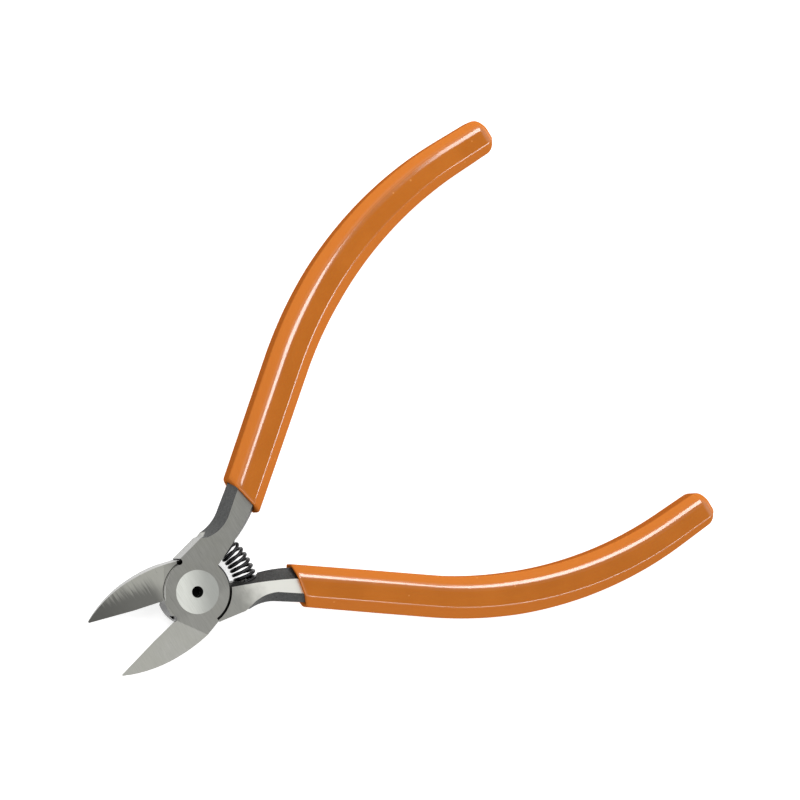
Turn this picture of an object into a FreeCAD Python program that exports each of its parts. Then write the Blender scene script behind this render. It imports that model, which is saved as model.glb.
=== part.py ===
import FreeCAD, Part
import math
import os

# Diagonal cutting pliers, 150 mm long, a riveted lap joint with a coil spring between the handles.
# Millimetres. The origin is on the pivot axis at the back face of the head, +Y runs from the pivot
# to the jaw tips and +Z to the front. The tool is drawn fully open, each half swung OPEN_HALF away
# from the YZ plane. The front half has its handle at +X and its jaw at -X; the back half is the same
# forging turned over about the Y axis, with its jaw ground as a mirror image of the other.

# Opening and head
OPEN_HALF = 16.5            # degrees that each half turns from closed to fully open
HEAD_THICKNESS = 7.0
LAP_GAP = 0.05              # between the two lapped discs
HUB_RADIUS = 7.65           # the round lapped disc of each half
HUB_RIM_CHAMFER = 0.4
POCKET_RADIUS = 7.83       # the round recess that clears the other half's disc
SHOULDER_ANGLE = -4.5       # degrees from +X of the faces that meet when the tool is fully open
SHOULDER_GAP = 0.06         # left between those faces at rest
SHOULDER_RADIUS = 8.3       # pivot to the shoulder's outer corner
WEB_RADIUS = 6.0            # how deep the jaw and shank reach into the disc
RELIEF_RADIUS = 0.65        # small drilled reliefs at the inner corners of disc and shoulder
SHOULDER_RELIEF = (7.75, -1.0)  # radius and degrees from +X of the blind relief at the shoulder
THROAT_RELIEF = (7.9, 15.0)     # radius and degrees from +Y of the relief beside the jaw's root

# Rivet
RIVET_RADIUS = 3.0
RIVET_HEAD_RADIUS = 4.85
RIVET_HEAD_HEIGHT = 1.4
RIVET_CLEARANCE = 0.05      # running clearance in the back half
RIVET_MARK_RADIUS = 1.27    # blind centre hole in the front head
RIVET_MARK_DEPTH = 3.0

# Jaws
EDGE_LENGTH = 23.9          # pivot to jaw tip
EDGE_START = 8.3            # pivot to the root of the cutting edge
EDGE_RELIEF = 0.3           # how far the edge stands back at its root
EDGE_RELIEF_LENGTH = 6.0
EDGE_BACK_OFF = 0.02        # half of the gap between the closed edges
TIP_FLAT = 0.35             # width left at the blunt tip
TIP_FRONT_Z = 0.8           # height of the cutting edge at the tip
TIP_BACK_Z = 0.15           # height of the underside at the tip
JAW_ROOT = (-1.6, 5.5)      # inside the disc, where jaw and disc are one piece
JAW_BELLY = ((-9.2, 17.3), (-10.0, 10.6))       # the jaw's outer curve from its tip, in two arcs
JAW_CHEEK = ((-9.75, 6.4), (-9.2, 3.3))
JAW_NECK = (-8.55, 1.2)     # on the last arc, which runs into the shoulder
JAW_FACE_START = 7.6        # pivot to the line where the sloping front face leaves the head's face
JAW_FACE_TURN = 33.0        # degrees from +Y to the direction in which that face falls
EDGE_BEVEL = 33.0           # degrees between the bevel behind the edge and the closing plane

# Shank outlines: a flank's start at the head, a point on its bend and where its straight begins
PARTING_Z = 2.2             # the forging's parting line, nearer to the pocket side
WALL_TOP = (8.45, -1.6)     # the upright wall beside the pivot, from the shoulder to the flank
WALL_FOOT = (9.55, -6.95)
PARTING_OUTER = ((10.05, -8.4), (10.5, -11.5), (12.3, -14.8))
PARTING_INNER = ((3.2, -10.1), (4.85, -16.0), (7.7, -21.5))
DISC_SIDE_OUTER = ((8.85, -8.3), (8.68, -10.9), (10.0, -14.7))
DISC_SIDE_INNER = ((3.6, -10.0), (6.25, -15.8), (9.1, -20.7))
POCKET_SIDE_OUTER = ((9.2, -8.8), (8.97, -11.3), (10.1, -15.35))
POCKET_SIDE_INNER = ((4.4, -9.45), (6.6, -14.25), (9.9, -20.4))
WEB_CORNERS = ((2.8, -8.1), (2.0, -6.0))        # where the inner flank runs into the disc
POCKET_SIDE_WEB = ((3.7, -7.8), (3.0, -6.3))    # the same on the pocket side
SHANK_END = -21.5           # along the handle line, inside the grip
PARTING_END_WIDTH = 6.6
DISC_SIDE_END_WIDTH = 4.2
POCKET_SIDE_END_WIDTH = 3.0

# Handle line: a straight part, a bend and a short straight end parallel to Y
BEND_START = FreeCAD.Vector(31.07, -45.35, 0)
BEND_RADIUS = 95.0
HANDLE_DIRECTION = -52.3    # degrees from +X of the straight part
HANDLE_END_Y = -115.2
TANG_START = -26.5          # along the handle line, inside the shank
TANG_WIDTH = 6.2
TANG_THICKNESS = 6.4
TANG_TIP_SHORT = 6.0        # how far the steel stops short of the grip's end

# Grips
GRIP_START = -36.0          # along the handle line, before the mouth is cut
GRIP_WIDTHS = (9.2, 9.45, 9.6, 9.8, 9.5, 9.05, 8.4)     # from mouth to tip, evenly spaced
GRIP_THICKNESS = 9.7
GRIP_CORNERS = ((1.0, 0.0), (0.98, 0.47), (0.77, 0.80), (0.46, 0.98), (0.0, 1.0))
GRIP_DOME = 3.0             # length of the domed end
DOME_RINGS = 5
DOME_LAST_TURN = 64.0       # degrees of the quarter round that the dome covers before its flat end
MOUTH_OUTER = FreeCAD.Vector(16.9, -19.5, 0)    # the grip's slanting mouth, outer and inner corner
MOUTH_INNER = FreeCAD.Vector(6.8, -21.5, 0)

# Spring
SPRING_OUTER_RADIUS = 2.7
SPRING_WIRE_RADIUS = 0.37
SPRING_COILS = 13
SPRING_STEPS = 12           # points per coil of the wire's centre line
SPRING_POCKET_RADIUS = 2.9
SPRING_POCKET_DEPTH = 4.2
SPRING_END_GAP = 0.05       # between the spring's end and the pocket's floor
SPRING_DROP = 12.1          # pivot to the spring's axis when closed
SPRING_MOUTH = 0.7          # closing plane to the pocket's mouth when closed

MID_Z = HEAD_THICKNESS / 2
PAST = 1.0                  # how far a cutting tool runs past the faces that it cuts
BLOCK_SIZE = 400.0
X_AXIS = FreeCAD.Vector(1, 0, 0)
Y_AXIS = FreeCAD.Vector(0, 1, 0)
Z_AXIS = FreeCAD.Vector(0, 0, 1)
ORIGIN = FreeCAD.Vector(0, 0, 0)
BEND_TURN = 90 + HANDLE_DIRECTION
BEND_LENGTH = math.radians(BEND_TURN) * BEND_RADIUS


def polar(radius, degrees, z=0.0):
    """A point at this distance from the pivot axis, degrees counted from +X."""
    angle = math.radians(degrees)
    return FreeCAD.Vector(radius * math.cos(angle), radius * math.sin(angle), z)


def at_height(point, z):
    return FreeCAD.Vector(point.x, point.y, z)


def flat(point):
    return point.x, point.y


def outline(start, moves, z):
    """A closed wire at height z. A move is a point for a line, or (via, end) for an arc."""
    edges = []
    here = FreeCAD.Vector(*start, z)
    for move in moves + [start]:
        if isinstance(move[0], tuple):
            via, end = (FreeCAD.Vector(*point, z) for point in move)
            edges.append(Part.Arc(here, via, end).toShape())
        else:
            end = FreeCAD.Vector(*move, z)
            edges.append(Part.LineSegment(here, end).toShape())
        here = end
    return Part.Wire(edges)


def slab(wire, thickness):
    return Part.Face(wire).extrude(Z_AXIS * thickness)


def cylinder(radius, z_low, z_high, center=ORIGIN):
    return Part.makeCylinder(radius, z_high - z_low, at_height(center, z_low), Z_AXIS)


def through_hole(radius, center=ORIGIN):
    return cylinder(radius, -PAST, HEAD_THICKNESS + PAST, center)


def half_space(point, normal):
    """A block that fills everything on the normal's side of a plane."""
    corner = FreeCAD.Vector(-BLOCK_SIZE / 2, -BLOCK_SIZE / 2, 0)
    block = Part.makeBox(BLOCK_SIZE, BLOCK_SIZE, BLOCK_SIZE, corner)
    block.Placement = FreeCAD.Placement(point, FreeCAD.Rotation(Z_AXIS, normal))
    return block


def turned_over(shape):
    """The same shape turned over about the Y axis at the head's mid-plane."""
    return shape.rotated(FreeCAD.Vector(0, 0, MID_Z), Y_AXIS, 180)


# ---------------------------------------------------------------- handle line

def handle_point(travel):
    """The handle's centre line: distance from the bend's start, as (point, degrees from +X)."""
    if travel <= 0:
        return BEND_START + polar(travel, HANDLE_DIRECTION), HANDLE_DIRECTION
    center = BEND_START + polar(BEND_RADIUS, HANDLE_DIRECTION - 90)
    turned = min(math.degrees(travel / BEND_RADIUS), BEND_TURN)
    point = center + polar(BEND_RADIUS, HANDLE_DIRECTION + 90 - turned)
    rest = travel - math.radians(turned) * BEND_RADIUS
    direction = HANDLE_DIRECTION - turned
    return point + polar(rest, direction), direction


def handle_end():
    """Where the handle line ends, as a distance along it."""
    return BEND_LENGTH + handle_point(BEND_LENGTH)[0].y - HANDLE_END_Y


def handle_offset(travel, side):
    """A point beside the centre line; a positive side is on the outer side of the handle."""
    point, direction = handle_point(travel)
    return flat(point + polar(side, direction + 90))


# ---------------------------------------------------------------- jaws

def jaw_block():
    """The front half's jaw in plan, full thickness, reaching into the disc."""
    edge_angle = 90 + OPEN_HALF
    outward = polar(1, edge_angle + 90)
    root = polar(EDGE_START, edge_angle) + outward * (EDGE_BACK_OFF + EDGE_RELIEF)
    straight = polar(EDGE_START + EDGE_RELIEF_LENGTH, edge_angle) + outward * EDGE_BACK_OFF
    tip = polar(EDGE_LENGTH, edge_angle) + outward * EDGE_BACK_OFF
    tip_outer = tip + outward * TIP_FLAT
    gap = polar(SHOULDER_GAP, 90 - SHOULDER_ANGLE)
    shoulder = polar(HUB_RADIUS + HUB_RIM_CHAMFER, 180 - SHOULDER_ANGLE) + gap
    shoulder_inner = polar(WEB_RADIUS, 180 - SHOULDER_ANGLE) + gap
    wire = outline(JAW_ROOT, [flat(root), flat(straight), flat(tip), flat(tip_outer),
                              JAW_BELLY, JAW_CHEEK, (JAW_NECK, flat(shoulder)),
                              flat(shoulder_inner)], 0)
    return slab(wire, HEAD_THICKNESS)


def face_fall(drop):
    """Direction and slope of a jaw face that falls by this much at the tip."""
    along = polar(1, 90 + JAW_FACE_TURN)
    tip = polar(EDGE_LENGTH, 90 + OPEN_HALF)
    return along, drop / (tip.dot(along) - JAW_FACE_START)


def bevel_plane(along, slope):
    """A point and the normal of the bevel behind the cutting edge."""
    edge_angle = 90 + OPEN_HALF
    inward = polar(1, OPEN_HALF)
    root = polar(EDGE_START, edge_angle)
    root.z = HEAD_THICKNESS - slope * (root.dot(along) - JAW_FACE_START)
    edge = polar(EDGE_LENGTH, edge_angle, TIP_FRONT_Z) - root
    lean = math.radians(EDGE_BEVEL)
    normal = edge.cross(inward * -math.sin(lean) - Z_AXIS * math.cos(lean))
    if normal.dot(inward) < 0:
        normal = normal * -1
    return root - inward * EDGE_BACK_OFF, normal


def ground_jaw():
    """The front half's jaw with its sloping front face, tapering underside and bevel."""
    along, slope = face_fall(HEAD_THICKNESS - TIP_FRONT_Z)
    jaw = jaw_block()
    jaw = jaw.cut(half_space(at_height(along * JAW_FACE_START, HEAD_THICKNESS),
                             along * slope + Z_AXIS))
    _, back_slope = face_fall(TIP_BACK_Z)
    jaw = jaw.cut(half_space(along * JAW_FACE_START, along * back_slope - Z_AXIS))
    return jaw.cut(half_space(*bevel_plane(along, slope)))


# ---------------------------------------------------------------- shank, tang and forging

def shank_outline(z, outer, inner, web, end_width):
    shoulder = polar(SHOULDER_RADIUS, SHOULDER_ANGLE)
    shoulder_inner = polar(WEB_RADIUS, SHOULDER_ANGLE)
    outer_start, outer_via, outer_end = outer
    inner_start, inner_via, inner_end = inner
    return outline(flat(shoulder_inner),
                   [flat(shoulder), WALL_TOP, WALL_FOOT, outer_start, (outer_via, outer_end),
                    handle_offset(SHANK_END, end_width / 2),
                    handle_offset(SHANK_END, -end_width / 2),
                    inner_end, (inner_via, inner_start), *web], z)


def shank():
    """The front half's handle from the disc to the grip, drafted from its parting line."""
    pocket_side = shank_outline(0, POCKET_SIDE_OUTER, POCKET_SIDE_INNER, POCKET_SIDE_WEB,
                                POCKET_SIDE_END_WIDTH)
    parting = shank_outline(PARTING_Z, PARTING_OUTER, PARTING_INNER, WEB_CORNERS,
                            PARTING_END_WIDTH)
    disc_side = shank_outline(HEAD_THICKNESS, DISC_SIDE_OUTER, DISC_SIDE_INNER, WEB_CORNERS,
                              DISC_SIDE_END_WIDTH)
    lower = Part.makeLoft([pocket_side, parting], True, True)
    return lower.fuse(Part.makeLoft([parting, disc_side], True, True))


def tang():
    """The steel inside the grip: a flat bar along the handle's centre line."""
    end = handle_end() - TANG_TIP_SHORT
    half = TANG_WIDTH / 2
    outer, outer_bend = (handle_offset(travel, half) for travel in (0, BEND_LENGTH / 2))
    inner, inner_bend = (handle_offset(travel, -half) for travel in (0, BEND_LENGTH / 2))
    wire = outline(handle_offset(TANG_START, half),
                   [outer, (outer_bend, handle_offset(BEND_LENGTH, half)),
                    handle_offset(end, half), handle_offset(end, -half),
                    handle_offset(BEND_LENGTH, -half), (inner_bend, inner),
                    handle_offset(TANG_START, -half)], MID_Z - TANG_THICKNESS / 2)
    return slab(wire, TANG_THICKNESS)


def spring_pocket():
    """The blind hole in the front half's shank that holds the spring's end."""
    turn = FreeCAD.Rotation(Z_AXIS, OPEN_HALF)
    run_in = SPRING_POCKET_RADIUS
    start = turn.multVec(FreeCAD.Vector(SPRING_MOUTH - run_in, -SPRING_DROP, MID_Z))
    return Part.makeCylinder(SPRING_POCKET_RADIUS, SPRING_POCKET_DEPTH + run_in,
                             start, turn.multVec(X_AXIS))


def disc():
    """The front half's lapped disc, its outer rim chamfered."""
    plain = cylinder(HUB_RADIUS, MID_Z + LAP_GAP / 2, HEAD_THICKNESS)
    rim = [edge for edge in plain.Edges if edge.Closed and edge.CenterOfMass.z > MID_Z + LAP_GAP]
    return plain.makeChamfer(HUB_RIM_CHAMFER, rim)


def forged_handle():
    """Disc, shank and tang of the front half, before its rivet hole is bored."""
    pocket = cylinder(POCKET_RADIUS, -PAST, MID_Z + LAP_GAP / 2)
    bar = shank().fuse(tang()).cut(pocket).cut(spring_pocket())
    relief = cylinder(RELIEF_RADIUS, MID_Z + LAP_GAP / 2, HEAD_THICKNESS + PAST,
                      polar(*SHOULDER_RELIEF))
    return disc().fuse(bar).cut(relief)


def front_half():
    pocket = cylinder(POCKET_RADIUS, -PAST, MID_Z + LAP_GAP / 2)
    radius, turn = THROAT_RELIEF
    half = forged_handle().fuse(ground_jaw().cut(pocket))
    half = half.cut(through_hole(RELIEF_RADIUS, polar(radius, 90 + turn)))
    half = half.cut(through_hole(RIVET_RADIUS))
    half = half.cut(cylinder(RIVET_HEAD_RADIUS, HEAD_THICKNESS - RIVET_HEAD_HEIGHT,
                             HEAD_THICKNESS + PAST))
    return half.removeSplitter()


def back_half():
    pocket = cylinder(POCKET_RADIUS, MID_Z - LAP_GAP / 2, HEAD_THICKNESS + PAST)
    radius, turn = THROAT_RELIEF
    jaw = ground_jaw().mirror(ORIGIN, X_AXIS).cut(pocket)
    half = turned_over(forged_handle()).fuse(jaw)
    half = half.cut(through_hole(RELIEF_RADIUS, polar(radius, 90 - turn)))
    half = half.cut(through_hole(RIVET_RADIUS + RIVET_CLEARANCE))
    half = half.cut(cylinder(RIVET_HEAD_RADIUS + RIVET_CLEARANCE, -PAST,
                             RIVET_HEAD_HEIGHT + RIVET_CLEARANCE))
    return half.removeSplitter()


def pivot_rivet():
    rivet = cylinder(RIVET_RADIUS, 0, HEAD_THICKNESS)
    rivet = rivet.fuse(cylinder(RIVET_HEAD_RADIUS, 0, RIVET_HEAD_HEIGHT))
    rivet = rivet.fuse(cylinder(RIVET_HEAD_RADIUS, HEAD_THICKNESS - RIVET_HEAD_HEIGHT,
                                HEAD_THICKNESS))
    mark = cylinder(RIVET_MARK_RADIUS, HEAD_THICKNESS - RIVET_MARK_DEPTH, HEAD_THICKNESS + PAST)
    return rivet.cut(mark).removeSplitter()


# ---------------------------------------------------------------- grips

def grip_section(travel, width, thickness):
    """A rounded octagon across the handle: flat top and bottom, steep flanks between slopes."""
    point, direction = handle_point(travel)
    side = polar(width / 2, direction + 90)
    rise = Z_AXIS * (thickness / 2)
    quarter = list(GRIP_CORNERS)
    upper = quarter + [(-x, y) for x, y in reversed(quarter[:-1])]
    corners = upper + [(-x, -y) for x, y in upper[1:-1]]
    curve = Part.BSplineCurve()
    curve.interpolate([at_height(point, MID_Z) + side * x + rise * y for x, y in corners],
                      PeriodicFlag=True)
    return Part.Wire(curve.toShape())


def grip_body():
    """The grip's closed outer shape, with a domed end."""
    body_end = handle_end() - GRIP_DOME
    steps = len(GRIP_WIDTHS) - 1
    sections = [grip_section(GRIP_START + (body_end - GRIP_START) * k / steps, width,
                             GRIP_THICKNESS)
                for k, width in enumerate(GRIP_WIDTHS)]
    last_turn = math.radians(DOME_LAST_TURN)
    rings = []
    for k in range(DOME_RINGS + 1):
        turn = last_turn * k / DOME_RINGS
        travel = body_end + GRIP_DOME * math.sin(turn) / math.sin(last_turn)
        rings.append(grip_section(travel, GRIP_WIDTHS[-1] * math.cos(turn),
                                  GRIP_THICKNESS * math.cos(turn)))
    return Part.makeLoft(sections, True, False).fuse(Part.makeLoft(rings, True, False))


def front_grip():
    """The dipped grip over the front half's tang, cut slanting at its mouth."""
    towards_head = Z_AXIS.cross(MOUTH_OUTER - MOUTH_INNER)
    grip = grip_body().cut(half_space(MOUTH_INNER, towards_head))
    return grip.cut(shank().fuse(tang()))


# ---------------------------------------------------------------- spring

def spring_line():
    """The front pocket's floor and mouth on the spring's axis, and the bend's radius."""
    turn = FreeCAD.Rotation(Z_AXIS, OPEN_HALF)
    floor_x = SPRING_MOUTH + SPRING_POCKET_DEPTH - SPRING_END_GAP
    floor = turn.multVec(FreeCAD.Vector(floor_x, -SPRING_DROP, 0))
    mouth = turn.multVec(FreeCAD.Vector(SPRING_MOUTH, -SPRING_DROP, 0))
    return floor, mouth, mouth.x / math.sin(math.radians(OPEN_HALF))


def spring_axis(travel):
    """Point and outward direction on the spring's bent axis, from the front pocket's floor."""
    floor, mouth, radius = spring_line()
    run = (floor - mouth).Length
    bend = radius * math.radians(2 * OPEN_HALF)
    turned = min(max(math.degrees((travel - run) / radius), 0), 2 * OPEN_HALF)
    angle = OPEN_HALF - turned
    center = FreeCAD.Vector(0, mouth.y + radius * math.cos(math.radians(OPEN_HALF)), 0)
    past = min(travel - run, 0) + max(travel - run - bend, 0)
    point = center + polar(radius, angle - 90) + polar(past, angle + 180)
    return at_height(point, MID_Z), polar(1, angle - 90)


def return_spring():
    """The coil spring, one round wire wound along the bent axis."""
    floor, mouth, radius = spring_line()
    length = 2 * (floor - mouth).Length + radius * math.radians(2 * OPEN_HALF)
    length = length - 2 * SPRING_WIRE_RADIUS
    coil_radius = SPRING_OUTER_RADIUS - SPRING_WIRE_RADIUS
    steps = SPRING_COILS * SPRING_STEPS
    points = []
    for k in range(steps + 1):
        point, outward = spring_axis(SPRING_WIRE_RADIUS + length * k / steps)
        angle = 2 * math.pi * k / SPRING_STEPS
        points.append(point + outward * (coil_radius * math.cos(angle))
                      + Z_AXIS * (coil_radius * math.sin(angle)))
    curve = Part.BSplineCurve()
    curve.interpolate(points)
    start_direction = curve.tangent(curve.FirstParameter)[0]
    circle = Part.Wire(Part.Circle(points[0], start_direction, SPRING_WIRE_RADIUS).toShape())
    return Part.Wire(curve.toShape()).makePipeShell([circle], True, True)


def build():
    grip = front_grip()
    return {
        "front_half": front_half(),
        "back_half": back_half(),
        "pivot_rivet": pivot_rivet(),
        "return_spring": return_spring(),
        "front_grip": grip,
        "back_grip": turned_over(grip),
    }


os.makedirs("parts", exist_ok=True)
for name, shape in build().items():
    shape.exportStep("parts/" + name + ".step")
    box = shape.BoundBox
    print(name, shape.isValid(), len(shape.Solids), round(shape.Volume, 1),
          [round(v, 2) for v in (box.XMin, box.YMin, box.ZMin, box.XMax, box.YMax, box.ZMax)])
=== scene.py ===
import math

import bpy
from mathutils import Matrix, Vector

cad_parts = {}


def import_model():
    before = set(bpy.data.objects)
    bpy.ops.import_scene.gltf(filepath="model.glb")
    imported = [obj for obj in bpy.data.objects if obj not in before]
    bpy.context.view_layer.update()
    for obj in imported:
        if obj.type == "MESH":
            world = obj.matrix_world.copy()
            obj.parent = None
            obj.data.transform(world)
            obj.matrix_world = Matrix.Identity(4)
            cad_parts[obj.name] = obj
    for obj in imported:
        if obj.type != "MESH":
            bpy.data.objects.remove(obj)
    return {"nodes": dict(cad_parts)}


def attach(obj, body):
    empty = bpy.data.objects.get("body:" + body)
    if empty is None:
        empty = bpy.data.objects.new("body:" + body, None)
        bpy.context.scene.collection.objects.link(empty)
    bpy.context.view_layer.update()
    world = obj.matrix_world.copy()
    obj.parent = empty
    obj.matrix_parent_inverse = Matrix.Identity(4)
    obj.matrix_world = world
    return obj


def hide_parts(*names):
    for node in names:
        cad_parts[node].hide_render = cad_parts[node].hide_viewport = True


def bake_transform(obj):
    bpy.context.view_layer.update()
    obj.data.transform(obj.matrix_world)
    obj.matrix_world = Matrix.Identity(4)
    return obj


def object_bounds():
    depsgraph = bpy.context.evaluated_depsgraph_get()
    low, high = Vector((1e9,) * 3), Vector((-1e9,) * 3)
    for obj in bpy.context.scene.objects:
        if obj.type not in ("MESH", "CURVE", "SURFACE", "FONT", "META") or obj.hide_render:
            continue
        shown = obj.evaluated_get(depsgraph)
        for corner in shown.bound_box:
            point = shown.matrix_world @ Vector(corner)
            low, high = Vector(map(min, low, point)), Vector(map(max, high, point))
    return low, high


# Diagonal cutting pliers. Lengths below are in millimetres in the row frame: the origin is on the
# pivot axis at the back of the head, +Y points to the jaw tips and +Z to the front.
MM = 0.001

# Camera: 19 degrees off the pivot axis, rolled so that the jaws point to the lower left.
CAMERA_AIM = (9.89, -64.19, 2.5)
CAMERA_DISTANCE = 592.8
CAMERA_TILT = 19.0
CAMERA_AZIMUTH = 66.7       # from +X, where the camera leans to
CAMERA_ROLL = 123.7
CAMERA_LENS = 117.0
SENSOR_WIDTH = 36.0

# Head, handle line and tang, the same values as in the CAD source
HEAD_THICKNESS = 7.0
MID_Z = HEAD_THICKNESS / 2
OPEN_HALF = 16.5
BEND_START = Vector((31.07, -45.35, 0))
BEND_RADIUS = 95.0
HANDLE_DIRECTION = -52.3
HANDLE_END_Y = -115.2
TANG_HALF = 3.1
TANG_TIP_SHORT = 6.0

# The hollow inside a grip, with a little air round the steel
AIR = 0.1
SHANK_HOLE = (3.8, (-1.7, -0.9), 3.56, 2.3, 1.65)       # as hole_section takes them
TANG_HOLE = (TANG_HALF + AIR, (-TANG_HALF, TANG_HALF), 3.3, TANG_HALF, TANG_HALF)
HOLE_CORNER = 0.2
HOLE_CROWN = 0.02           # lifts one corner of each face, so that no three lie in line
TANG_START = -21.0          # where the shank's section has become the tang's
MOUTH_DEPTHS = (8.0, 5.0, 3.0, 1.8, 1.0)                # of the shank-shaped rings

# Grips
GRIP_WIDTHS = (9.3, 9.5, 9.6, 9.8, 9.5, 9.05, 8.4)      # from mouth to tip, evenly spaced
GRIP_HALF_HEIGHT = 4.85
PLATEAU_HALF = 2.3          # half-width between the two ridges on the top
PLATEAU_DIP = 0.14          # how far the top sinks between them
PLATEAU_RADIUS = 8.0
SOFT_RIDGE = 3.2            # the ridge on the outer side of the front grip's top
SHARP_RIDGE = 0.15          # the other one, with a shallow crease beside it
CREASE_IN = 0.22            # from the sharp ridge to the bottom of the crease
CREASE_DROP = 0.08
CREASE_RADIUS = 0.15
FLANK_HALF = 2.4            # half-height of the steep flanks
FLANK_RADIUS = 1.7
END_ROUND = 3.0             # radius of the blunt end's edge
MOUTH_TRAVEL = -31.6        # centre of the slanting mouth, measured along the handle
MOUTH_SLANT = 0.5           # travel gained per millimetre towards the outer side
LIP = 0.75                  # how far the mouth's lip is rounded
END_FLAT_SHARES = (0.6, 0.2)            # rings on the end's flat, as shares of its size
CAVITY_STEPS = 15
LIP_STEPS = 8
BODY_STEPS = 96
END_STEPS = 12

# Spring, the same values as in the CAD source
SPRING_OUTER_RADIUS = 2.7
SPRING_WIRE_RADIUS = 0.37
SPRING_COILS = 13
SPRING_POCKET_DEPTH = 4.2
SPRING_END_GAP = 0.05
SPRING_DROP = 12.1
SPRING_MOUTH = 0.7
SPRING_STEPS = 36           # per turn
WIRE_SIDES = 14

STEEL_EDGE = 0.12           # broken edges
RIVET_EDGE = 0.06
EDGE_ANGLE = 30.0           # only corners sharper than this are broken

FLOOR_DROP = 0.02           # gap under the lowest point, so that no faces coincide
FLOOR_HALF = 6000.0

# Soft borders between finishes and painted light and shade: where each starts and where it is
# complete. The share of a surface's direction along Z is 1 on a face that lies level and 0 on an
# upright one.
LEVEL = (0.90, 0.97)
UPRIGHT = (0.6, 0.2)
# Painted shade: ground faces that stand upright or face down are darker
SIDE_WALL = (0.35, 0.1)
NOT_LEVEL = (0.90, 0.74)
BACK_OF_FLANK = (0.05, -0.15)
FORGED_Y = (-6.4, -7.1)
FORGED_SLANT = 0.7          # how much further back the border lies at mid-thickness
FORGED_WANDER = 0.9
# Painted shade in the narrow gaps round the disc, within this radius of the pivot
GAP_SHADE_RADIUS = (8.4, 8.1)
UNSHADED_X = (1.2, 3.0)        # beside the back jaw the gap gets no painted shade
UNSHADED_Y = (0.5, 2.0)
RELIEFS = ((7.75, -1.0), (7.9, 105.0))      # radius and degrees from +X
RELIEF_RADIUS = (0.72, 0.64)
# Painted highlight on the disc's chamfered rim beside the back jaw
RIM_SLOPE = (0.35, 0.55)
RIM_LEVEL = (0.93, 0.85)
RIM_INSIDE = (7.0, 7.2)
RIM_OUTSIDE = (7.9, 7.7)
RIM_X = (2.2, 2.8)
# Painted highlight on the back half's ground face, growing towards its grip
BRIGHT_X = (-2.0, -4.0)
BRIGHT_Y = (-4.0, -12.5)
BRIGHT_WANDER = 4.0
# Painted light and shade on the back half's jaw
BACK_JAW_X = (-0.2, 0.6)
BACK_JAW_Y = (0.5, 3.0)
BACK_JAW_RADIUS = (7.75, 7.9)
JAW_SHADE_Y = (5.2, 8.8)
JAW_SHADE_EDGE = (6.4, 2.4)             # distance from the cutting edge
JAW_SHADE_TIP_Y = (11.0, 21.0)
JAW_STREAKS = 6.5           # how far the grinding streaks reach into the shade
# Painted shade across the rivet's face, and a painted dark disc for its shaded centre hole
RIVET_SHADE_TURN = 70.0     # degrees from +X to the rivet's brighter side
RIVET_SHADE = (3.5, -3.5)
RIVET_MARK_RADIUS = (1.32, 1.24)

# Sky: brightness by height, times a factor that grows towards -X
SKY_BOTTOM = 0.15
SKY_TOP = 0.22
SKY_LEVELS = ((0.2, 0.2), (0.45, 0.6), (0.72, 0.38), (0.9, 0.23))
SKY_LEAN = 0.62
SKY_STRENGTH = 2.0

# Strip lights, sized and placed in metres: name, direction from the tool, length, power
STRIPS = (("upper_strip", (0.49, 0.08, 0.865), 0.26, 2.8),
          ("lower_strip", (0.46, -0.56, 0.69), 0.32, 3.4))
STRIP_DISTANCE = 0.8
STRIP_WIDTH = 0.34
STRIP_AIM = (0, -55, 0)     # in millimetres again


# ---------------------------------------------------------------- small helpers

def polar(radius, degrees, z=0.0):
    angle = math.radians(degrees)
    return Vector((radius * math.cos(angle), radius * math.sin(angle), z))


def mix(a, b, share):
    return a + (b - a) * share


def new_mesh(name, points, faces):
    """A smooth-shaded mesh object from points in millimetres."""
    mesh = bpy.data.meshes.new(name)
    mesh.from_pydata([tuple(p * MM) for p in points], [], faces)
    mesh.validate()
    mesh.polygons.foreach_set("use_smooth", [True] * len(mesh.polygons))
    piece = bpy.data.objects.new(name, mesh)
    bpy.context.scene.collection.objects.link(piece)
    return piece


def tube_faces(rings, columns):
    """Quads between rings of points, with one polygon at each end."""
    faces = []
    for r in range(rings - 1):
        for c in range(columns):
            d = (c + 1) % columns
            faces.append((r * columns + c, r * columns + d,
                          (r + 1) * columns + d, (r + 1) * columns + c))
    faces.append(tuple(reversed(range(columns))))
    last = (rings - 1) * columns
    faces.append(tuple(range(last, last + columns)))
    return faces


def rounded(corners, per_arc=7, per_side=3):
    """Points round a polygon given as (x, y, radius) corners, each corner an arc."""
    arcs = []
    count = len(corners)
    for k, (x, y, radius) in enumerate(corners):
        here = Vector((x, y))
        before = (Vector(corners[k - 1][:2]) - here).normalized()
        after = (Vector(corners[(k + 1) % count][:2]) - here).normalized()
        half = before.angle(after) / 2
        middle = here + (before + after).normalized() * (radius / math.sin(half))
        first = here + before * (radius / math.tan(half)) - middle
        last = here + after * (radius / math.tan(half)) - middle
        turn = first.angle_signed(last)
        arcs.append([middle + Matrix.Rotation(-turn * i / (per_arc - 1), 2) @ first
                     for i in range(per_arc)])
    points = []
    for k, arc in enumerate(arcs):
        following = arcs[(k + 1) % count][0]
        points += arc
        points += [arc[-1].lerp(following, i / (per_side + 1)) for i in range(1, per_side + 1)]
    return [(p.x, p.y) for p in points]


# ---------------------------------------------------------------- material helpers

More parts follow.
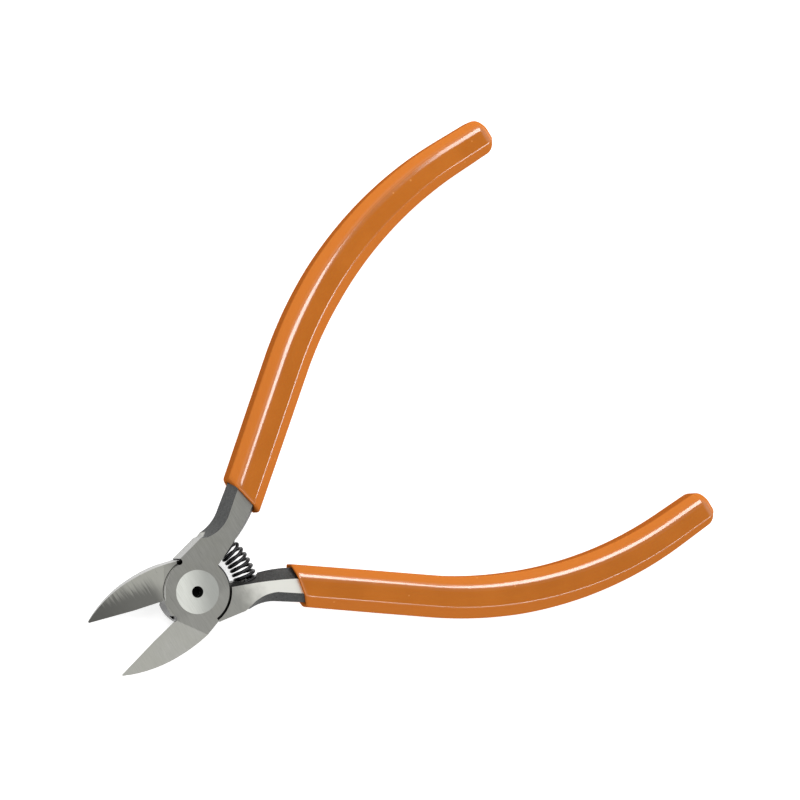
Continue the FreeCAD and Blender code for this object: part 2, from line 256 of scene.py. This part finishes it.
class Graph:
    """A material's node tree, with short ways to add and join nodes."""

    def __init__(self, name):
        self.material = bpy.data.materials.new(name)
        self.material.use_nodes = True
        self.tree = self.material.node_tree
        self.shader = self.tree.nodes["Principled BSDF"]
        self.place = self.add("ShaderNodeTexCoord").outputs["Object"]

    def add(self, kind, **values):
        node = self.tree.nodes.new(kind)
        for key, value in values.items():
            setattr(node, key, value)
        return node

    def join(self, source, target):
        self.tree.links.new(source, target)

    def set(self, **values):
        for key, value in values.items():
            self.shader.inputs[key.replace("_", " ")].default_value = value

    def put(self, socket, value):
        if isinstance(value, bpy.types.NodeSocket):
            self.join(value, socket)
        else:
            socket.default_value = value

    def math(self, operation, a, b=0.0, c=0.0):
        node = self.add("ShaderNodeMath", operation=operation)
        for socket, value in zip(node.inputs, (a, b, c)):
            self.put(socket, value)
        return node.outputs[0]

    def product(self, *values):
        result = values[0]
        for value in values[1:]:
            result = self.math("MULTIPLY", result, value)
        return result

    def range(self, value, low, high, to_low=0.0, to_high=1.0):
        """A smooth step: to_low where the value is low, to_high where it is high."""
        node = self.add("ShaderNodeMapRange", interpolation_type="SMOOTHSTEP")
        for socket, number in zip(node.inputs, (value, low, high, to_low, to_high)):
            self.put(socket, number)
        return node.outputs["Result"]

    def past(self, length, border, to_low=0.0, to_high=1.0):
        """A smooth step over a border in millimetres."""
        start, end = border
        return self.range(length, start * MM, end * MM, to_low, to_high)

    def parts(self, vector):
        node = self.add("ShaderNodeSeparateXYZ")
        self.join(vector, node.inputs[0])
        return node.outputs[0], node.outputs[1], node.outputs[2]

    def noise(self, scale, detail=3.0, roughness=0.5, place=None):
        """Noise over the object's own axes, with this many grains per metre."""
        node = self.add("ShaderNodeTexNoise")
        self.join(place or self.place, node.inputs["Vector"])
        node.inputs["Scale"].default_value = scale
        node.inputs["Detail"].default_value = detail
        node.inputs["Roughness"].default_value = roughness
        return node.outputs["Fac"]

    def grinding(self, along_x, along_y, along_z):
        """Fine parallel lines: noise with different grains per metre along each axis."""
        node = self.add("ShaderNodeMapping")
        self.join(self.place, node.inputs["Vector"])
        node.inputs["Scale"].default_value = (along_x, along_y, along_z)
        return self.noise(1.0, 4.0, 0.6, node.outputs[0])

    def blend(self, share, a, b):
        node = self.add("ShaderNodeMix", data_type="RGBA")
        self.put(node.inputs[0], share)
        self.put(node.inputs[6], a)
        self.put(node.inputs[7], b)
        return node.outputs[2]

    def bump(self, height, depth, strength, before=None):
        """A bumped normal, with its depth in millimetres."""
        node = self.add("ShaderNodeBump")
        node.inputs["Strength"].default_value = strength
        node.inputs["Distance"].default_value = depth * MM
        self.join(height, node.inputs["Height"])
        if before is not None:
            self.join(before, node.inputs["Normal"])
        return node.outputs[0]

    def surface_direction(self):
        """The surface's own normal in the object's axes, without any bump."""
        geometry = self.add("ShaderNodeNewGeometry")
        turn = self.add("ShaderNodeVectorTransform", vector_type="NORMAL",
                        convert_from="WORLD", convert_to="OBJECT")
        self.join(geometry.outputs["True Normal"], turn.inputs[0])
        return self.parts(turn.outputs[0])


def rgb(red, green, blue):
    """A display colour, 0 to 255, as the linear colour that a shader takes."""
    def linear(value):
        value = value / 255
        return value / 12.92 if value <= 0.04045 else ((value + 0.055) / 1.055) ** 2.4
    return (linear(red), linear(green), linear(blue), 1.0)


# ---------------------------------------------------------------- materials

def radius_from(g, center):
    """Distance from an upright axis through this point, in metres."""
    x, y, _ = g.parts(g.place)
    across = g.math("SUBTRACT", x, center.x * MM)
    along = g.math("SUBTRACT", y, center.y * MM)
    return g.math("SQRT", g.math("ADD", g.product(across, across), g.product(along, along)))


def forged_share(g):
    """1 on the rough flanks below the head, 0 on the ground faces, with a slanting border."""
    _, y, z = g.parts(g.place)
    _, _, up = g.surface_direction()
    steep = g.range(g.math("ABSOLUTE", up), *NOT_LEVEL)
    wander = g.product(g.math("SUBTRACT", g.noise(1100.0, 2.0), 0.5), FORGED_WANDER * MM)
    depth = g.math("SUBTRACT", MID_Z * MM, g.math("ABSOLUTE", g.math("SUBTRACT", z, MID_Z * MM)))
    line = g.math("ADD", g.math("MULTIPLY_ADD", depth, FORGED_SLANT, y), wander)
    return g.product(steep, g.past(line, FORGED_Y))


def gap_shade_share(g):
    """1 in the narrow gaps round the disc and in the drilled reliefs, which get painted shade."""
    x, y, _ = g.parts(g.place)
    _, _, up = g.surface_direction()
    steep = g.range(g.math("ABSOLUTE", up), *UPRIGHT)
    near = g.past(radius_from(g, Vector()), GAP_SHADE_RADIUS)
    unshaded = g.product(g.past(x, UNSHADED_X), g.past(y, UNSHADED_Y))
    gap_shade = g.product(steep, near, g.math("SUBTRACT", 1.0, unshaded))
    for place in RELIEFS:
        inside = g.past(radius_from(g, polar(*place)), RELIEF_RADIUS)
        gap_shade = g.math("MAXIMUM", gap_shade, inside)
    return gap_shade


def rim_highlight_share(g):
    """1 on the disc's chamfered rim beside the back jaw, which gets a painted highlight."""
    x, _, _ = g.parts(g.place)
    _, _, up = g.surface_direction()
    level = g.math("ABSOLUTE", up)
    distance = radius_from(g, Vector())
    return g.product(g.range(level, *RIM_SLOPE), g.range(level, *RIM_LEVEL),
                     g.past(distance, RIM_INSIDE), g.past(distance, RIM_OUTSIDE),
                     g.past(x, RIM_X))


def shank_highlight_share(g):
    """How much painted highlight the back half's ground face gets, growing towards its grip."""
    x, y, _ = g.parts(g.place)
    _, _, up = g.surface_direction()
    patchy = g.math("MULTIPLY_ADD", g.noise(420.0), BRIGHT_WANDER * MM, y)
    return g.product(g.range(up, *LEVEL), g.past(x, BRIGHT_X),
                     g.past(patchy, BRIGHT_Y, 0.08, 1.0))


def back_jaw_share(g):
    """1 on the back half's ground jaw, which gets painted light: a tone a little brighter than the
    head.
    """
    x, y, _ = g.parts(g.place)
    return g.product(g.past(x, BACK_JAW_X), g.past(y, BACK_JAW_Y),
                     g.past(radius_from(g, Vector()), BACK_JAW_RADIUS))


def jaw_shade(g):
    """How much darker that jaw gets from its outer rim to the edge and tip."""
    x, y, _ = g.parts(g.place)
    turn = math.radians(OPEN_HALF)
    off_edge = g.math("MULTIPLY_ADD", x, math.cos(turn), g.math("MULTIPLY", y, -math.sin(turn)))
    streaks = g.math("SUBTRACT", g.grinding(180, 3000, 300), 0.5)
    ragged = g.math("MULTIPLY_ADD", streaks, JAW_STREAKS * MM, off_edge)
    to_edge = g.past(ragged, JAW_SHADE_EDGE)
    to_tip = g.past(y, JAW_SHADE_TIP_Y)
    shade = g.math("MULTIPLY_ADD", to_edge, 0.72, g.math("MULTIPLY", to_tip, 0.12))
    return g.product(back_jaw_share(g), g.past(y, JAW_SHADE_Y), shade)


def ground_color(g, lines, painted_highlight):
    """Ground steel, from the plain faces to the finishes and the painted light and shade that lie
    over them.
    """
    _, _, up = g.surface_direction()
    color = g.blend(lines, rgb(143, 143, 138), rgb(190, 190, 184))
    color = g.blend(g.range(g.noise(160.0), 0.35, 0.7, 0.0, 0.35), color, rgb(164, 164, 154))
    # Painted light on the back jaw, then painted shade from its rim to its edge and tip
    color = g.blend(back_jaw_share(g), color, rgb(186, 186, 178))
    color = g.blend(jaw_shade(g), color, rgb(84, 84, 82))
    # Painted highlight: near-white on the back half's ground face towards its grip
    color = g.blend(painted_highlight, color, rgb(252, 252, 244))
    # Painted shade: upright and downward-facing ground faces are darker grey
    color = g.blend(g.range(up, *SIDE_WALL), color, rgb(118, 118, 114))
    # Painted highlight: near-white on the disc's chamfered rim beside the back jaw
    color = g.blend(rim_highlight_share(g), color, rgb(250, 250, 246))
    # Painted shade: near-black in the gaps round the disc and in the drilled reliefs
    return g.blend(gap_shade_share(g), color, rgb(34, 33, 32))


def steel_material():
    """Ground faces with fine lines, dark forged flanks below the head and painted shade in the gaps.
    """
    g = Graph("ground_steel")
    _, _, up = g.surface_direction()
    forged = forged_share(g)
    painted_highlight = shank_highlight_share(g)
    lines = g.grinding(350, 9000, 900)
    pits = g.noise(2200.0, 5.0, 0.7)
    dark = g.blend(pits, rgb(30, 31, 33), rgb(98, 99, 98))
    dark = g.blend(g.range(up, *BACK_OF_FLANK), dark, rgb(150, 152, 152))
    color = g.blend(forged, ground_color(g, lines, painted_highlight), dark)
    g.join(color, g.shader.inputs["Base Color"])
    rough = g.math("MULTIPLY_ADD", lines, 0.12, 0.24)
    g.join(g.math("MULTIPLY_ADD", forged, 0.25, rough), g.shader.inputs["Roughness"])
    # The painted highlight is also made a little less metallic
    highlight_on_ground = g.product(painted_highlight, g.math("SUBTRACT", 1.0, forged))
    g.join(g.math("MULTIPLY_ADD", highlight_on_ground, -0.2, 1.0), g.shader.inputs["Metallic"])
    fine = g.bump(lines, 0.01, 0.35)
    g.join(g.bump(g.product(pits, forged), 0.10, 0.8, fine), g.shader.inputs["Normal"])
    return g.material


def rivet_material():
    """Bright flush rivet with fine parallel lines, painted shade towards one side, and a painted
    near-black disc for the shaded centre hole in its front.
    """
    g = Graph("rivet_steel")
    lines = g.grinding(300, 7000, 900)
    face = g.blend(lines, rgb(212, 214, 206), rgb(248, 250, 244))
    x, y, z = g.parts(g.place)
    turn = math.radians(RIVET_SHADE_TURN)
    along = g.math("MULTIPLY_ADD", x, math.cos(turn), g.math("MULTIPLY", y, math.sin(turn)))
    # Painted shade: the face darkens away from its brighter side
    face = g.blend(g.past(along, RIVET_SHADE, 0.0, 0.75), face, rgb(156, 158, 154))
    # Painted shade: near-black where the centre hole in the front lies in shadow
    front = g.math("GREATER_THAN", z, MID_Z * MM)
    hole = g.product(front, g.past(radius_from(g, Vector()), RIVET_MARK_RADIUS))
    g.join(g.blend(hole, face, rgb(14, 14, 14)), g.shader.inputs["Base Color"])
    g.join(g.math("MULTIPLY_ADD", lines, 0.12, 0.34), g.shader.inputs["Roughness"])
    g.set(Metallic=1.0)
    g.join(g.bump(lines, 0.01, 0.3), g.shader.inputs["Normal"])
    return g.material


def spring_material():
    """Blackened, slightly oily spring wire."""
    g = Graph("spring_wire")
    cloud = g.noise(1500.0, 4.0)
    g.join(g.blend(cloud, rgb(16, 16, 18), rgb(38, 38, 41)), g.shader.inputs["Base Color"])
    g.join(g.range(cloud, 0.3, 0.7, 0.28, 0.42), g.shader.inputs["Roughness"])
    g.set(Metallic=0.6)
    g.join(g.bump(cloud, 0.02, 0.4), g.shader.inputs["Normal"])
    return g.material


def speck_share(g):
    """Tiny pale specks, in about a quarter of the cells of a Voronoi pattern."""
    cells = g.add("ShaderNodeTexVoronoi")
    g.join(g.place, cells.inputs["Vector"])
    cells.inputs["Scale"].default_value = 330.0
    spots = g.range(cells.outputs["Distance"], 0.10, 0.05)
    chosen = g.math("GREATER_THAN", g.parts(cells.outputs["Color"])[0], 0.72)
    return g.product(spots, chosen, 0.3)


def vinyl_material():
    """Dipped vinyl: glossy ridges, slopes painted paler as painted light, dull flanks painted darker
    as painted shade, faint clouds and specks.
    """
    g = Graph("orange_vinyl")
    _, _, up = g.surface_direction()
    level = g.math("ABSOLUTE", up)
    color = g.blend(g.range(g.noise(90.0), 0.3, 0.7), rgb(158, 87, 19), rgb(166, 93, 24))
    # Painted light: the slopes are paler than the top
    color = g.blend(g.range(level, 0.96, 0.85), color, rgb(186, 107, 44))
    color = g.blend(speck_share(g), color, rgb(232, 165, 100))
    # Painted shade: the steep flanks are darker
    color = g.blend(g.range(level, 0.5, 0.1), color, rgb(154, 83, 30))
    g.join(color, g.shader.inputs["Base Color"])
    ripple = g.noise(260.0, 2.0)
    g.join(g.range(ripple, 0.3, 0.7, 0.13, 0.17), g.shader.inputs["Roughness"])
    gloss = g.product(g.range(level, 0.74, 0.86), g.range(level, 0.985, 0.995, 0.85, 0.3))
    g.join(gloss, g.shader.inputs["Specular IOR Level"])
    g.set(Subsurface_Weight=0.05, Subsurface_Radius=(0.0012, 0.0004, 0.0001),
          Subsurface_Scale=1.0)
    g.join(g.bump(ripple, 0.04, 0.2), g.shader.inputs["Normal"])
    return g.material


def floor_material():
    """A white, faintly lit table, so that it stays pale under soft light."""
    g = Graph("pale_floor")
    color = g.blend(g.noise(2.0, 2.0), (0.66, 0.66, 0.66, 1), (0.69, 0.69, 0.69, 1))
    g.join(color, g.shader.inputs["Base Color"])
    g.set(Roughness=0.9, Specular_IOR_Level=0.1, Emission_Color=(1, 1, 1, 1),
          Emission_Strength=0.7)
    return g.material


# ---------------------------------------------------------------- grips

def handle_point(travel):
    """The handle's centre line: distance from the bend's start, as (point, degrees from +X)."""
    if travel <= 0:
        return BEND_START + polar(travel, HANDLE_DIRECTION), HANDLE_DIRECTION
    center = BEND_START + polar(BEND_RADIUS, HANDLE_DIRECTION - 90)
    turned = min(math.degrees(travel / BEND_RADIUS), 90 + HANDLE_DIRECTION)
    point = center + polar(BEND_RADIUS, HANDLE_DIRECTION + 90 - turned)
    rest = travel - math.radians(turned) * BEND_RADIUS
    return point + polar(rest, HANDLE_DIRECTION - turned), HANDLE_DIRECTION - turned


def handle_end():
    bend = math.radians(90 + HANDLE_DIRECTION) * BEND_RADIUS
    return bend + handle_point(bend)[0].y - HANDLE_END_Y


def width_at(share):
    place = share * (len(GRIP_WIDTHS) - 1)
    k = min(int(place), len(GRIP_WIDTHS) - 2)
    return mix(GRIP_WIDTHS[k], GRIP_WIDTHS[k + 1], place - k)


def grip_section(share):
    """The outer section: dished top and bottom between ridges, slopes and steep flanks."""
    half = width_at(share) / 2
    top = [(half, FLANK_HALF, FLANK_RADIUS),
           (PLATEAU_HALF, GRIP_HALF_HEIGHT, SOFT_RIDGE),
           (0, GRIP_HALF_HEIGHT - PLATEAU_DIP, PLATEAU_RADIUS),
           (CREASE_IN - PLATEAU_HALF, GRIP_HALF_HEIGHT - CREASE_DROP, CREASE_RADIUS),
           (-PLATEAU_HALF, GRIP_HALF_HEIGHT, SHARP_RIDGE),
           (-half, FLANK_HALF, FLANK_RADIUS)]
    return rounded(top + [(-x, -y, radius) for x, y, radius in top])


def hole_section(half_width, sides, half_height, near, far):
    """The section round the steel: upright sides, and faces with half-widths near and far."""
    crown = half_height + HOLE_CROWN
    low, high = sides
    upper = [(half_width, high), (near, half_height), (0, half_height),
             (-near / 2, crown), (-near, half_height), (-half_width, high)]
    lower = [(-half_width, low), (-far, -half_height), (0, -half_height),
             (far / 2, -crown), (far, -half_height), (half_width, low)]
    return rounded([(x, y, HOLE_CORNER) for x, y in upper + lower])


def placed(travel, side, height):
    point, direction = handle_point(travel)
    return point + polar(side, direction + 90) + Vector((0, 0, MID_Z + height))


def mouth_travel(side):
    return MOUTH_TRAVEL + MOUTH_SLANT * side


def cavity_rings(shank, tang):
    """From the cavity's end inside the grip to just behind the mouth."""
    rings = []
    deepest = handle_end() - TANG_TIP_SHORT + AIR
    for k in range(CAVITY_STEPS + 1):
        travel = mix(deepest, TANG_START, k / CAVITY_STEPS)
        rings.append([placed(travel, side, height) for side, height in tang])
    for depth in MOUTH_DEPTHS:
        rings.append([placed(mouth_travel(side) + depth, side, height)
                      for side, height in shank])
    return rings


def lip_rings(shank, outside):
    """The mouth's rounded lip, from the hole's edge out to the grip's surface."""
    rings = []
    for k in range(LIP_STEPS + 1):
        turn = math.pi * (1 - k / LIP_STEPS)
        share = 0.5 + 0.5 * math.cos(turn)
        ring = []
        for near, far in zip(shank, outside):
            side, height = mix(near[0], far[0], share), mix(near[1], far[1], share)
            ring.append(placed(mouth_travel(side) + LIP * (1 - math.sin(turn)), side, height))
        rings.append(ring)
    return rings


def body_rings(body_end):
    rings = []
    for k in range(1, BODY_STEPS + 1):
        share = k / BODY_STEPS
        rings.append([placed(mix(mouth_travel(side) + LIP, body_end, share), side, height)
                      for side, height in grip_section(share)])
    return rings


def end_rings(body_end):
    """The blunt end: its edge rounded by END_ROUND, then a flat."""
    rings = []
    outside = grip_section(1.0)
    half = GRIP_WIDTHS[-1] / 2
    for k in range(1, END_STEPS + 1):
        turn = math.radians(90 * k / END_STEPS)
        inset = END_ROUND * (1 - math.cos(turn))
        travel = body_end + END_ROUND * math.sin(turn)
        rings.append([placed(travel, side * (1 - inset / half),
                             height * (1 - inset / GRIP_HALF_HEIGHT))
                      for side, height in outside])
    for share in END_FLAT_SHARES:
        rings.append([placed(body_end + END_ROUND, side * (1 - END_ROUND / half) * share,
                             height * (1 - END_ROUND / GRIP_HALF_HEIGHT) * share)
                      for side, height in outside])
    return rings


def grip_rings():
    """Rings from the cavity's end, out round the mouth's lip and along to the blunt tip."""
    shank = hole_section(*SHANK_HOLE)
    tang = hole_section(*TANG_HOLE)
    body_end = handle_end() - END_ROUND
    return (cavity_rings(shank, tang) + lip_rings(shank, grip_section(0.0))
            + body_rings(body_end) + end_rings(body_end))


def turned_over(piece):
    """Turns the mesh over about the Y axis at the head's mid-plane."""
    middle = Vector((0, 0, MID_Z * MM))
    piece.data.transform(Matrix.Translation(middle) @ Matrix.Rotation(math.pi, 4, "Y")
                         @ Matrix.Translation(-middle))


def grips(vinyl):
    rings = grip_rings()
    points = [p for ring in rings for p in ring]
    faces = tube_faces(len(rings), len(rings[0]))
    for name, body in (("front_grip", "front"), ("back_grip", "back")):
        piece = new_mesh(name + "_dipped", points, faces)
        if body == "back":
            turned_over(piece)
        piece.data.materials.append(vinyl)
        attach(piece, body)
        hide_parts(name)


# ---------------------------------------------------------------- spring

def spring_line():
    """The front pocket's floor and mouth on the spring's axis, and the bend's radius."""
    turn = Matrix.Rotation(math.radians(OPEN_HALF), 4, "Z")
    floor_x = SPRING_MOUTH + SPRING_POCKET_DEPTH - SPRING_END_GAP
    floor_point = turn @ Vector((floor_x, -SPRING_DROP, 0))
    mouth = turn @ Vector((SPRING_MOUTH, -SPRING_DROP, 0))
    return floor_point, mouth, mouth.x / math.sin(math.radians(OPEN_HALF))


def spring_axis(travel, line):
    """Point and outward direction on the spring's bent axis, from the front pocket's floor."""
    floor_point, mouth, radius = line
    run = (floor_point - mouth).length
    bend = radius * math.radians(2 * OPEN_HALF)
    turned = min(max(math.degrees((travel - run) / radius), 0), 2 * OPEN_HALF)
    angle = OPEN_HALF - turned
    center = Vector((0, mouth.y + radius * math.cos(math.radians(OPEN_HALF)), MID_Z))
    past = min(travel - run, 0) + max(travel - run - bend, 0)
    return center + polar(radius, angle - 90) + polar(past, angle + 180), polar(1, angle - 90)


def return_spring(wire):
    """The coil spring, a round wire wound along the bent axis between the two pockets."""
    line = spring_line()
    floor_point, mouth, radius = line
    length = 2 * (floor_point - mouth).length + radius * math.radians(2 * OPEN_HALF)
    length = length - 2 * SPRING_WIRE_RADIUS
    steps = SPRING_COILS * SPRING_STEPS
    coil = SPRING_OUTER_RADIUS - SPRING_WIRE_RADIUS
    axis = [spring_axis(SPRING_WIRE_RADIUS + length * k / steps, line)
            for k in range(steps + 1)]
    centers = []
    for k, (point, outward) in enumerate(axis):
        angle = 2 * math.pi * k / SPRING_STEPS
        centers.append(point + outward * (coil * math.cos(angle))
                       + Vector((0, 0, coil * math.sin(angle))))
    points = []
    for k, center in enumerate(centers):
        ahead = centers[min(k + 1, steps)] - centers[max(k - 1, 0)]
        across = ahead.cross(center - axis[k][0]).normalized()
        out = across.cross(ahead).normalized()
        for c in range(WIRE_SIDES):
            angle = 2 * math.pi * c / WIRE_SIDES
            points.append(center + (out * math.cos(angle) + across * math.sin(angle))
                          * SPRING_WIRE_RADIUS)
    piece = new_mesh("return_spring_coil", points, tube_faces(steps + 1, WIRE_SIDES))
    piece.data.materials.append(wire)
    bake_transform(piece)
    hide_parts("return_spring")


# ---------------------------------------------------------------- carried-over CAD nodes

def finish_node(node, material, bevel):
    """A CAD node keeps its mesh; it gets its finish and softly broken edges."""
    node.data.materials.clear()
    node.data.materials.append(material)
    soften = node.modifiers.new("broken_edges", "BEVEL")
    soften.width = bevel * MM
    soften.segments = 2
    soften.limit_method = "ANGLE"
    soften.angle_limit = math.radians(EDGE_ANGLE)
    soften.harden_normals = True


# ---------------------------------------------------------------- stage

def camera():
    tilt = math.radians(CAMERA_TILT)
    back = polar(math.sin(tilt), CAMERA_AZIMUTH, math.cos(tilt))
    up = Vector((0, 1, 0)) - back * back.y
    up.normalize()
    right = up.cross(back)
    roll = math.radians(CAMERA_ROLL)
    up, right = (up * math.cos(roll) + right * math.sin(roll),
                 right * math.cos(roll) - up * math.sin(roll))
    data = bpy.data.cameras.new("camera")
    data.lens = CAMERA_LENS
    data.sensor_width = SENSOR_WIDTH
    holder = bpy.data.objects.new("camera", data)
    place = (Vector(CAMERA_AIM) + back * CAMERA_DISTANCE) * MM
    holder.matrix_world = Matrix.Translation(place) @ Matrix((right, up, back)).transposed().to_4x4()
    bpy.context.scene.collection.objects.link(holder)
    bpy.context.scene.camera = holder


def strip_light(name, toward, length, power):
    """A long soft box in this direction from the tool, its long side along the handles."""
    data = bpy.data.lights.new(name, "AREA")
    data.energy = power
    data.shape = "RECTANGLE"
    data.size = STRIP_WIDTH
    data.size_y = length
    holder = bpy.data.objects.new(name, data)
    away = Vector(toward).normalized()
    side = Vector((0, 1, 0)).cross(away).normalized()
    axes = Matrix((side, away.cross(side), away)).transposed().to_4x4()
    place = Vector(STRIP_AIM) * MM + away * STRIP_DISTANCE
    holder.matrix_world = Matrix.Translation(place) @ axes
    bpy.context.scene.collection.objects.link(holder)


def world():
    """A soft studio: dim overhead and at the horizon, bright between, brighter towards -X."""
    studio = bpy.data.worlds.new("studio")
    studio.use_nodes = True
    tree = studio.node_tree
    place = tree.nodes.new("ShaderNodeTexCoord")
    split = tree.nodes.new("ShaderNodeSeparateXYZ")
    tree.links.new(place.outputs["Generated"], split.inputs[0])
    ramp = tree.nodes.new("ShaderNodeValToRGB")
    ramp.color_ramp.interpolation = "EASE"
    stops = ramp.color_ramp.elements
    stops[0].position = 0.0
    stops[0].color = (SKY_BOTTOM, SKY_BOTTOM, SKY_BOTTOM, 1)
    stops[1].position = 1.0
    stops[1].color = (SKY_TOP, SKY_TOP, SKY_TOP, 1)
    for height, level in SKY_LEVELS:
        stops.new(height).color = (level, level, level, 1)
    tree.links.new(split.outputs[2], ramp.inputs[0])
    lean = tree.nodes.new("ShaderNodeMath")
    lean.operation = "MULTIPLY_ADD"
    lean.inputs[1].default_value = -SKY_LEAN
    lean.inputs[2].default_value = 1.0
    tree.links.new(split.outputs[0], lean.inputs[0])
    scaled = tree.nodes.new("ShaderNodeMath")
    scaled.operation = "MULTIPLY"
    scaled.inputs[1].default_value = SKY_STRENGTH
    tree.links.new(lean.outputs[0], scaled.inputs[0])
    background = tree.nodes["Background"]
    tree.links.new(ramp.outputs[0], background.inputs["Color"])
    tree.links.new(scaled.outputs[0], background.inputs["Strength"])
    bpy.context.scene.world = studio


def floor(low_z, material):
    half = FLOOR_HALF * MM
    mesh = bpy.data.meshes.new("floor")
    corners = [(-half, -half, low_z), (half, -half, low_z), (half, half, low_z), (-half, half, low_z)]
    mesh.from_pydata(corners, [], [(0, 1, 2, 3)])
    ground = bpy.data.objects.new("floor", mesh)
    ground.data.materials.append(material)
    bpy.context.scene.collection.objects.link(ground)


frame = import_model()
cad_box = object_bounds()

steel = steel_material()
finish_node(frame["nodes"]["front_half"], steel, STEEL_EDGE)
finish_node(frame["nodes"]["back_half"], steel, STEEL_EDGE)
finish_node(frame["nodes"]["pivot_rivet"], rivet_material(), RIVET_EDGE)
grips(vinyl_material())
return_spring(spring_material())

camera()
world()
bpy.context.scene.view_settings.view_transform = "Standard"
for strip in STRIPS:
    strip_light(*strip)
floor(cad_box[0].z - FLOOR_DROP * MM, floor_material())
